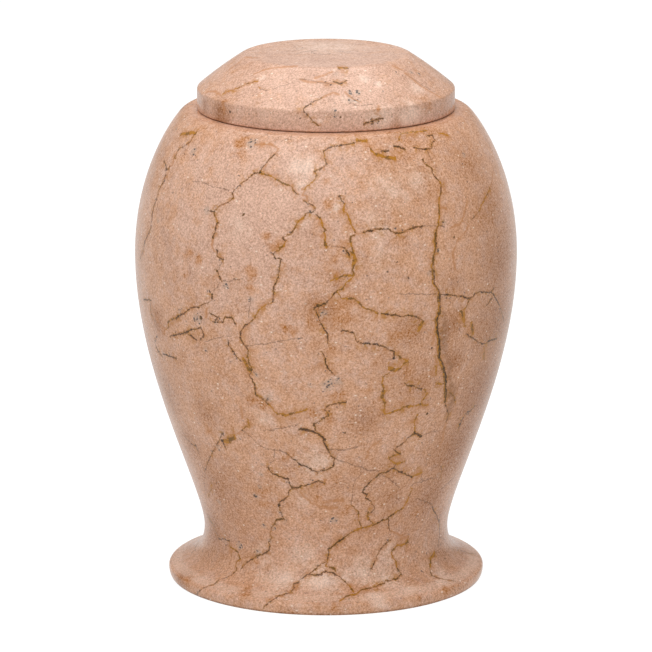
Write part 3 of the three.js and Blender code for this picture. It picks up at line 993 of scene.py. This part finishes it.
def drawn_veins(name, piece, routes, marks, girth, stage):
    """A group that draws one piece's own veins, as depths inside them in millimetres, and its soft marks."""
    outputs = {kind.capitalize(): "Float" for kind in (*VEIN_COLOURS, *MARK_KINDS)}
    wiring, source, deliver = new_group(name, {"Jagged": "Vector", "Ragged": "Vector"}, outputs)
    split = wiring.add("ShaderNodeSeparateXYZ", {0: source["Jagged"]}).outputs
    flat = wiring.add("ShaderNodeCombineXYZ", {"X": split["X"], "Y": split["Y"]}).outputs[0]
    radius = wiring.vector("DISTANCE", flat, (0, 0, 0))
    bearing = wiring.math("ARCTAN2", split["X"], wiring.math("MULTIPLY", split["Y"], -1.0))
    surface = (
        wiring.math("MULTIPLY", bearing, girth),
        wiring.math("MULTIPLY_ADD", radius, -LEAN, split["Z"]),
    )
    nearest = dict.fromkeys(VEIN_KINDS, FAR_MM)
    for kind, *route in routes:
        points = [unrolled(stone_point(piece, pixel, stage), girth) for pixel in route]
        for way, run in steady_runs(points):
            nearest[kind] = wiring.math("MINIMUM", nearest[kind], distance_to_run(wiring, surface, way, run))
    depth = dict.fromkeys(VEIN_COLOURS, -FAR_MM)
    for kind, (shade, half_width) in VEIN_KINDS.items():
        inside = wiring.math("SUBTRACT", half_width, nearest[kind])
        depth[shade] = wiring.math("MAXIMUM", depth[shade], inside)
    strength = dict.fromkeys(MARK_KINDS, 0.0)
    for kind, places in marks.items():
        for pixel, size, weight in places:
            shaken = source["Jagged" if size < RAGGED_FROM_MM else "Ragged"]
            away = wiring.vector("DISTANCE", shaken, stone_point(piece, pixel, stage))
            mark = wiring.math("MULTIPLY_ADD", away, -weight / size, weight)
            strength[kind] = wiring.math("MAXIMUM", strength[kind], mark)
    deliver(**depth, **strength)
    return wiring.tree


# The stone itself: lengths in millimetres, then stretches, noise details, tints, swings and shares

JAGGED_MM = 3.1
RAGGED_MM = 9.0
WANDER_MM = 1.6
SHELL_MM = 2.4
SPECK_MM = 1.5
HUE_SHIFT_MM = (310.0, 170.0, 90.0)
# Height of the painted highlight ring along the foot's lip
LIP_HIGHLIGHT_MM = 7.6
CRACK_DRIFT_MM = 34.0
CRACK_HALF_WIDTH_MM = 0.30
CRACK_APART_MM = 4.0

CRACK_STRETCH = (1.0, 1.0, 0.68)
SHELL_SQUASH = (1.0, 1.0, 1.5)
GRAIN_DETAIL = (1.0, 0.90)
MOTTLE_DETAIL = (3.0, 0.85)
GRAIN_TINT = (0.71, 0.52, 0.42)
GRAIN_SWING = 1.15
MOTTLE_SWING = 0.45
MARK_SWING = 0.9
GREY_SWING = 1.6
ROSE_PULL = 0.28
FLECK_SHARE = 0.90
GREY_SHARE = 0.42
GREY_CROWD = 0.80
HAIR_WANDER = 0.5
ROUGHNESS_SWING = 0.12
CRACK_ROUGHNESS = 0.15


def stone_place_group():
    """Places in millimetres from Object coordinates: true, jagged for the veins and ragged for the marks."""
    outputs = {"True": "Vector", "Jagged": "Vector", "Ragged": "Vector"}
    wiring, source, deliver = new_group("Stone places", {"Object": "Vector"}, outputs)
    true = wiring.scaled(source["Object"], 1 / MM)
    jagged = wiring.shaken(true, wiring.pattern("jagged", true), JAGGED_MM)
    ragged = wiring.shaken(true, wiring.pattern("ragged", true), RAGGED_MM)
    deliver(true=true, jagged=jagged, ragged=ragged)
    return wiring.tree


def stone_grain_group(look):
    """Fine grain, small clouds, pale shell flecks and dark specks."""
    outputs = {"Grain": "Float", "Mottle": "Float", "Hue": "Float", "Fleck": "Float", "Speck": "Float"}
    wiring, source, deliver = new_group("Stone grain", {"Place": "Vector", "Jagged": "Vector"}, outputs)
    place = source["Place"]
    grain = wiring.noise(place, look.grain_size / MM, *GRAIN_DETAIL)[0]
    mottle = wiring.noise(place, look.mottle_size / MM, *MOTTLE_DETAIL)[0]
    hue = wiring.pattern("hue", wiring.vector("ADD", place, HUE_SHIFT_MM))[0]
    shells = wiring.cells(wiring.vector("MULTIPLY", place, SHELL_SQUASH), SHELL_MM)
    chosen = wiring.add("ShaderNodeSeparateColor", {0: shells["Color"]}).outputs
    fleck = wiring.eased("shell edge", shells["Distance"])
    fleck = wiring.math("MULTIPLY", fleck, wiring.eased("shell choice", chosen[0]))
    specks = wiring.cells(source["Jagged"], SPECK_MM)
    picked = wiring.add("ShaderNodeSeparateColor", {0: specks["Color"]}).outputs
    speck = wiring.math("MULTIPLY", wiring.eased("speck edge", specks["Distance"]), picked[1])
    deliver(grain=grain, mottle=mottle, hue=hue, fleck=fleck, speck=speck)
    return wiring.tree


def stone_cracks_group(look):
    """A net of fine natural cracks through the stone, dark or golden, most at the back."""
    outputs = {"Dark": "Float", "Gold": "Float"}
    wiring, source, deliver = new_group("Stone cracks", {"Jagged": "Vector", "Ragged": "Vector"}, outputs)
    place = source["Ragged"]
    wandering = wiring.shaken(source["Jagged"], wiring.pattern("crack drift", place), CRACK_DRIFT_MM)
    tall = wiring.vector("MULTIPLY", wandering, CRACK_STRETCH)
    edge = wiring.cells(tall, look.crack_size / MM, "DISTANCE_TO_EDGE")["Distance"]
    depth = wiring.math("MULTIPLY_ADD", edge, -look.crack_size / MM, CRACK_HALF_WIDTH_MM)
    fade = wiring.pattern("crack fade", place)[0]
    split = wiring.add("ShaderNodeSeparateXYZ", {0: source["Jagged"]}).outputs
    for name, value in (("crack fade", fade), ("crack back", split["Y"]), ("crack top", split["Z"])):
        depth = wiring.math("ADD", depth, wiring.eased(name, value))
    pick = wiring.eased("crack gold", wiring.pattern("crack gold", place)[0])
    apart = wiring.math("SUBTRACT", depth, CRACK_APART_MM)
    gold = wiring.math("MULTIPLY_ADD", pick, CRACK_APART_MM, apart)
    dark = wiring.math("MULTIPLY_ADD", pick, -CRACK_APART_MM, depth)
    deliver(dark=dark, gold=gold)
    return wiring.tree


def marble_group(look, grain, cracks):
    """The marble's colour, roughness and fine relief from its places, veins and marks."""
    inputs = {"True": "Vector", "Jagged": "Vector", "Ragged": "Vector"}
    inputs |= {kind.capitalize(): "Float" for kind in (*VEIN_COLOURS, *MARK_KINDS)}
    outputs = {"Color": "Color", "Roughness": "Float", "Height": "Float"}
    wiring, source, deliver = new_group("Polished marble", inputs, outputs)
    mix, maths, eased = wiring.mix, wiring.math, wiring.eased

    def paint(shade):
        return (*shade, 1.0)

    def swing(value, by):
        return maths("MULTIPLY_ADD", value, by, -by / 2)

    def soft_mark(kind, by=MARK_SWING):
        """A mark whose edge is broken up by the small clouds."""
        return eased(kind + " mark", maths("ADD", source[kind.capitalize()], swing(fine["Mottle"], by)))

    fine = wiring.group(grain, place=source["True"], jagged=source["Jagged"])
    net = wiring.group(cracks, jagged=source["Jagged"], ragged=source["Ragged"])
    cloud = wiring.noise(source["Ragged"], look.cloud_size / MM)[0]

    # Pink stone, its clouds, tan, pale and stain marks, with painted shade under the lid's seat, a painted
    # highlight along the foot's lip and a painted contact shadow at the foot's bottom edge
    yellow = maths("MULTIPLY_ADD", source["Rose"], -ROSE_PULL, fine["Hue"])
    stone = mix(eased("sand", yellow), paint(look.pink), paint(look.sand))
    stone = mix(eased("cloud", cloud), stone, paint(look.tan))
    stone = mix(soft_mark("tan"), stone, paint(look.tan))
    height = wiring.add("ShaderNodeSeparateXYZ", {0: source["True"]}).outputs["Z"]
    radius = wiring.vector("DISTANCE", wiring.vector("MULTIPLY", source["True"], (1, 1, 0)), (0, 0, 0))
    # Painted shade: tan laid on the shoulder just below the lid's seat, darkest next to it, standing in for
    # the shade under the lid
    below_seat = maths("SUBTRACT", body_high.z / MM, height)
    seat_shade = maths("MULTIPLY", eased("painted seat shade", below_seat), maths("GREATER_THAN", below_seat, 0.0))
    stone = mix(seat_shade, stone, paint(look.tan))
    # Painted highlight: a pale ring round the foot's lip, standing in for the light's reflection on its crest
    from_lip = maths("ABSOLUTE", maths("SUBTRACT", height, LIP_HIGHLIGHT_MM))
    stone = mix(eased("lip highlight", from_lip), stone, paint(look.pale))
    # Painted contact shadow: umber along the foot's bottom edge, where it stands on the floor
    contact_shadow = maths("MULTIPLY", eased("contact shadow height", height), eased("contact shadow radius", radius))
    stone = mix(contact_shadow, stone, paint(look.umber))
    # Pale marks: the stone's pale clouds, and painted highlights on the shoulder and along the foot's lip
    stone = mix(soft_mark("pale"), stone, paint(look.pale))
    blotch = maths("MULTIPLY", source["Stain"], eased("stain strength", fine["Hue"]))
    stone = mix(eased("stain mark", blotch), stone, paint(look.stain))

    # Grain and shell flecks
    tone = maths("ADD", swing(fine["Mottle"], MOTTLE_SWING), swing(fine["Grain"], GRAIN_SWING))
    stone = mix(1.0, stone, wiring.scaled(GRAIN_TINT, tone), "ADD")
    stone = mix(maths("MULTIPLY", fine["Fleck"], FLECK_SHARE), stone, paint(look.shell))

    # Grey clusters and their dark specks
    dark = maths("MAXIMUM", source["Dark"], net["Dark"])
    gold = maths("MAXIMUM", source["Gold"], net["Gold"])
    cluster = soft_mark("grey", GREY_SWING)
    cold = maths("MULTIPLY", eased("grey side", dark), eased("grey hue", fine["Hue"]))
    stone = mix(maths("MULTIPLY", maths("MAXIMUM", cold, cluster), GREY_SHARE), stone, paint(look.grey))
    crowd = maths("MAXIMUM", eased("speck crowd", dark), maths("MULTIPLY", cluster, GREY_CROWD))
    stone = mix(eased("speck", maths("ADD", crowd, fine["Speck"])), stone, paint(look.slate))

    # Stained stone beside the veins and the veins themselves, with the dark ones on top
    wander = swing(wiring.pattern("wander", source["True"])[0], WANDER_MM)
    tarnish = eased("tarnish", wiring.pattern("tarnish", source["True"])[0])
    charred = eased("char", wiring.pattern("char", source["Jagged"])[0])
    ochre = eased("ochre", wiring.pattern("ochre", source["Jagged"])[0])
    stone = mix(eased("gold halo", gold), stone, paint(look.stain))
    beside = eased("ochre side", maths("MAXIMUM", dark, gold))
    rusty_gold = mix(tarnish, paint(look.stain), paint(look.gold))
    stone = mix(maths("MULTIPLY", beside, ochre), stone, rusty_gold)
    stone = mix(eased("rust line", maths("ADD", source["Rust"], wander)), stone, paint(look.stain))
    stone = mix(soft_mark("shade"), stone, paint(look.umber))
    fringe = eased("fringe", maths("ADD", dark, wander))
    fringe = maths("MULTIPLY", fringe, eased("fringe hue", fine["Hue"]))
    stone = mix(fringe, stone, rusty_gold)
    hair_line = maths("MULTIPLY_ADD", wander, HAIR_WANDER, source["Hair"])
    stone = mix(eased("hair line", hair_line), stone, paint(look.bistre))
    gold_line = eased("gold line", maths("ADD", gold, wander))
    stone = mix(gold_line, stone, mix(tarnish, paint(look.gold), paint(look.olive)))
    dark_line = eased("dark line", maths("ADD", dark, wander))
    dark_line = maths("MAXIMUM", dark_line, eased("dot mark", source["Dot"]))
    stone = mix(dark_line, stone, mix(charred, paint(look.olive), paint(look.dark)))

    polish = look.roughness - ROUGHNESS_SWING / 2
    rough = maths("MULTIPLY_ADD", fine["Mottle"], ROUGHNESS_SWING, polish)
    rough = maths("MULTIPLY_ADD", dark_line, CRACK_ROUGHNESS, rough)
    deliver(color=stone, roughness=rough, height=fine["Grain"])
    return wiring.tree


BUMP_DISTANCE = 0.00003
BUMP_STRENGTH = 0.35


def marble_material(name, places, marble, veins):
    """One piece's marble: the shared stone with that piece's own veins."""
    material = bpy.data.materials.new(name)
    material.use_nodes = True
    wiring = Wiring(material.node_tree)
    shader = material.node_tree.nodes["Principled BSDF"]
    shader.inputs["Specular IOR Level"].default_value = bpy.context.scene.urn.stone.shine
    place = wiring.group(places, object=wiring.add("ShaderNodeTexCoord").outputs["Object"])
    drawn = wiring.group(veins, jagged=place["Jagged"], ragged=place["Ragged"])
    feeds = {socket.name.lower(): socket for socket in (*place, *drawn)}
    stone = wiring.group(marble, **feeds)
    feeds = {"Height": stone["Height"], "Distance": BUMP_DISTANCE, "Strength": BUMP_STRENGTH}
    bump = wiring.add("ShaderNodeBump", feeds)
    wiring.feed(shader.inputs["Base Color"], stone["Color"])
    wiring.feed(shader.inputs["Roughness"], stone["Roughness"])
    wiring.feed(shader.inputs["Normal"], bump.outputs["Normal"])
    return material


def shared_marble(look):
    """The node groups that both pieces share, made the first time they are asked for."""
    groups = bpy.data.node_groups
    if "Polished marble" not in groups:
        stone_place_group()
        marble_group(look, stone_grain_group(look), stone_cracks_group(look))
    return groups["Stone places"], groups["Polished marble"]


def dress(piece, node, routes, marks, girth):
    """Gives a turned piece its marble, and sets it in its CAD node's place."""
    settings = bpy.context.scene.urn
    bpy.context.view_layer.update()
    places, marble = shared_marble(settings.stone)
    label = piece.name.replace("_", " ").capitalize()
    veins = drawn_veins(label + " veins", piece, routes, marks, girth, settings.stage)
    piece.data.materials.append(marble_material(label + " stone", places, marble, veins))
    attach(piece, "root")
    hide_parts(node)


class URN_OT_turn_body(bpy.types.Operator):
    """Turn the hollow marble body"""

    bl_idname = "urn.turn_body"
    bl_label = "Turn body"

    def execute(self, context):
        settings = context.scene.urn
        piece = turn_piece("marble_body", body_outline(settings.body), settings.turning_steps)
        dress(piece, BODY_NODE, BODY_VEINS, BODY_MARKS, settings.body.belly_radius / MM)
        return {"FINISHED"}


class URN_OT_turn_lid(bpy.types.Operator):
    """Turn the loose marble lid"""

    bl_idname = "urn.turn_lid"
    bl_label = "Turn lid"

    def execute(self, context):
        settings = context.scene.urn
        piece = turn_piece("marble_lid", lid_outline(settings.lid), settings.turning_steps)
        dress(piece, LID_NODE, LID_VEINS, LID_MARKS, settings.lid.lid_radius / MM)
        return {"FINISHED"}


FLOOR_RADIUS = 8.0
FLOOR_SIDES = 96
FLOOR_CLOUD = 0.6
FLOOR_DULLING = 0.98
FLOOR_ROUGHNESS = 0.9
WHITE = (1, 1, 1, 1)
KEY_PLACE = (-0.20, -0.95, 1.45)
KEY_SIZE = 1.5
TOP_PLACE = (0.0, 0.4, 1.75)
TOP_SIZE = 1.7
LIGHT_AIM = Vector((0, 0, 0.16))


def floor_material(stage):
    """A plain pale floor that glows a little, so that shadows on it stay soft."""
    material = bpy.data.materials.new("Pale floor")
    material.use_nodes = True
    wiring = Wiring(material.node_tree)
    shader = material.node_tree.nodes["Principled BSDF"]
    place = wiring.add("ShaderNodeTexCoord").outputs["Object"]
    cloud = wiring.noise(place, FLOOR_CLOUD)[0]
    bright = (*stage.floor_colour, 1.0)
    dull = (*(FLOOR_DULLING * part for part in stage.floor_colour), 1.0)
    wiring.feed(shader.inputs["Base Color"], wiring.mix(cloud, bright, dull))
    shader.inputs["Roughness"].default_value = FLOOR_ROUGHNESS
    shader.inputs["Specular IOR Level"].default_value = 0.0
    shader.inputs["Emission Color"].default_value = WHITE
    seen = wiring.add("ShaderNodeLightPath").outputs["Is Camera Ray"]
    glow = wiring.math("MULTIPLY_ADD", seen, stage.floor_white - stage.floor_glow, stage.floor_glow)
    wiring.feed(shader.inputs["Emission Strength"], glow)
    return material


def soft_light(name, place, size, power):
    bpy.ops.object.light_add(type="AREA", location=place)
    light = bpy.context.object
    light.name = name
    light.data.shape = "DISK"
    light.data.size = size
    light.data.energy = power
    light.rotation_euler = (LIGHT_AIM - Vector(place)).to_track_quat("-Z", "Y").to_euler()


class URN_OT_set_stage(bpy.types.Operator):
    """Set the camera, the soft lights and the floor"""

    bl_idname = "urn.set_stage"
    bl_label = "Set stage"

    def execute(self, context):
        scene = context.scene
        stage = scene.urn.stage
        scene.view_settings.view_transform = "Standard"
        place, turn = camera_place(stage)
        bpy.ops.object.select_all(action="DESELECT")
        bpy.ops.object.camera_add(location=place, rotation=turn)
        scene.camera = context.object
        scene.camera.data.sensor_width = SENSOR_MM
        scene.camera.data.lens = stage.focal_length
        bpy.ops.mesh.primitive_circle_add(vertices=FLOOR_SIDES, radius=FLOOR_RADIUS, fill_type="NGON")
        floor = context.object
        floor.name = "pale_floor"
        floor.data.materials.append(floor_material(stage))
        soft_light("key_light", KEY_PLACE, KEY_SIZE, stage.key_power)
        soft_light("top_light", TOP_PLACE, TOP_SIZE, stage.top_power)
        world = bpy.data.worlds.new("White studio")
        world.use_nodes = True
        background = world.node_tree.nodes["Background"].inputs
        background["Color"].default_value = WHITE
        background["Strength"].default_value = stage.world_light
        scene.world = world
        return {"FINISHED"}


class URN_PT_panel(bpy.types.Panel):
    """Lists the urn's pieces and settings"""

    bl_label = "Marble urn"
    bl_idname = "URN_PT_panel"
    bl_space_type = "VIEW_3D"
    bl_region_type = "UI"
    bl_category = "Urn"

    def draw(self, context):
        settings = context.scene.urn
        for operator in (URN_OT_set_stage, URN_OT_turn_body, URN_OT_turn_lid):
            self.layout.operator(operator.bl_idname)
        self.layout.prop(settings, "turning_steps")
        for part in (settings.body, settings.lid, settings.stone, settings.stage):
            box = self.layout.box()
            for name in part.__annotations__:
                box.prop(part, name)


CLASSES = (
    UrnBodySizes,
    UrnLidSizes,
    UrnStoneLook,
    UrnStageLook,
    UrnSettings,
    URN_OT_set_stage,
    URN_OT_turn_body,
    URN_OT_turn_lid,
    URN_PT_panel,
)


def register():
    for cls in CLASSES:
        bpy.utils.register_class(cls)
    bpy.types.Scene.urn = PointerProperty(type=UrnSettings)


def unregister():
    del bpy.types.Scene.urn
    for cls in reversed(CLASSES):
        bpy.utils.unregister_class(cls)


def main():
    register()
    bpy.ops.urn.set_stage()
    bpy.ops.urn.turn_body()
    bpy.ops.urn.turn_lid()


if __name__ == "__main__":
    main()
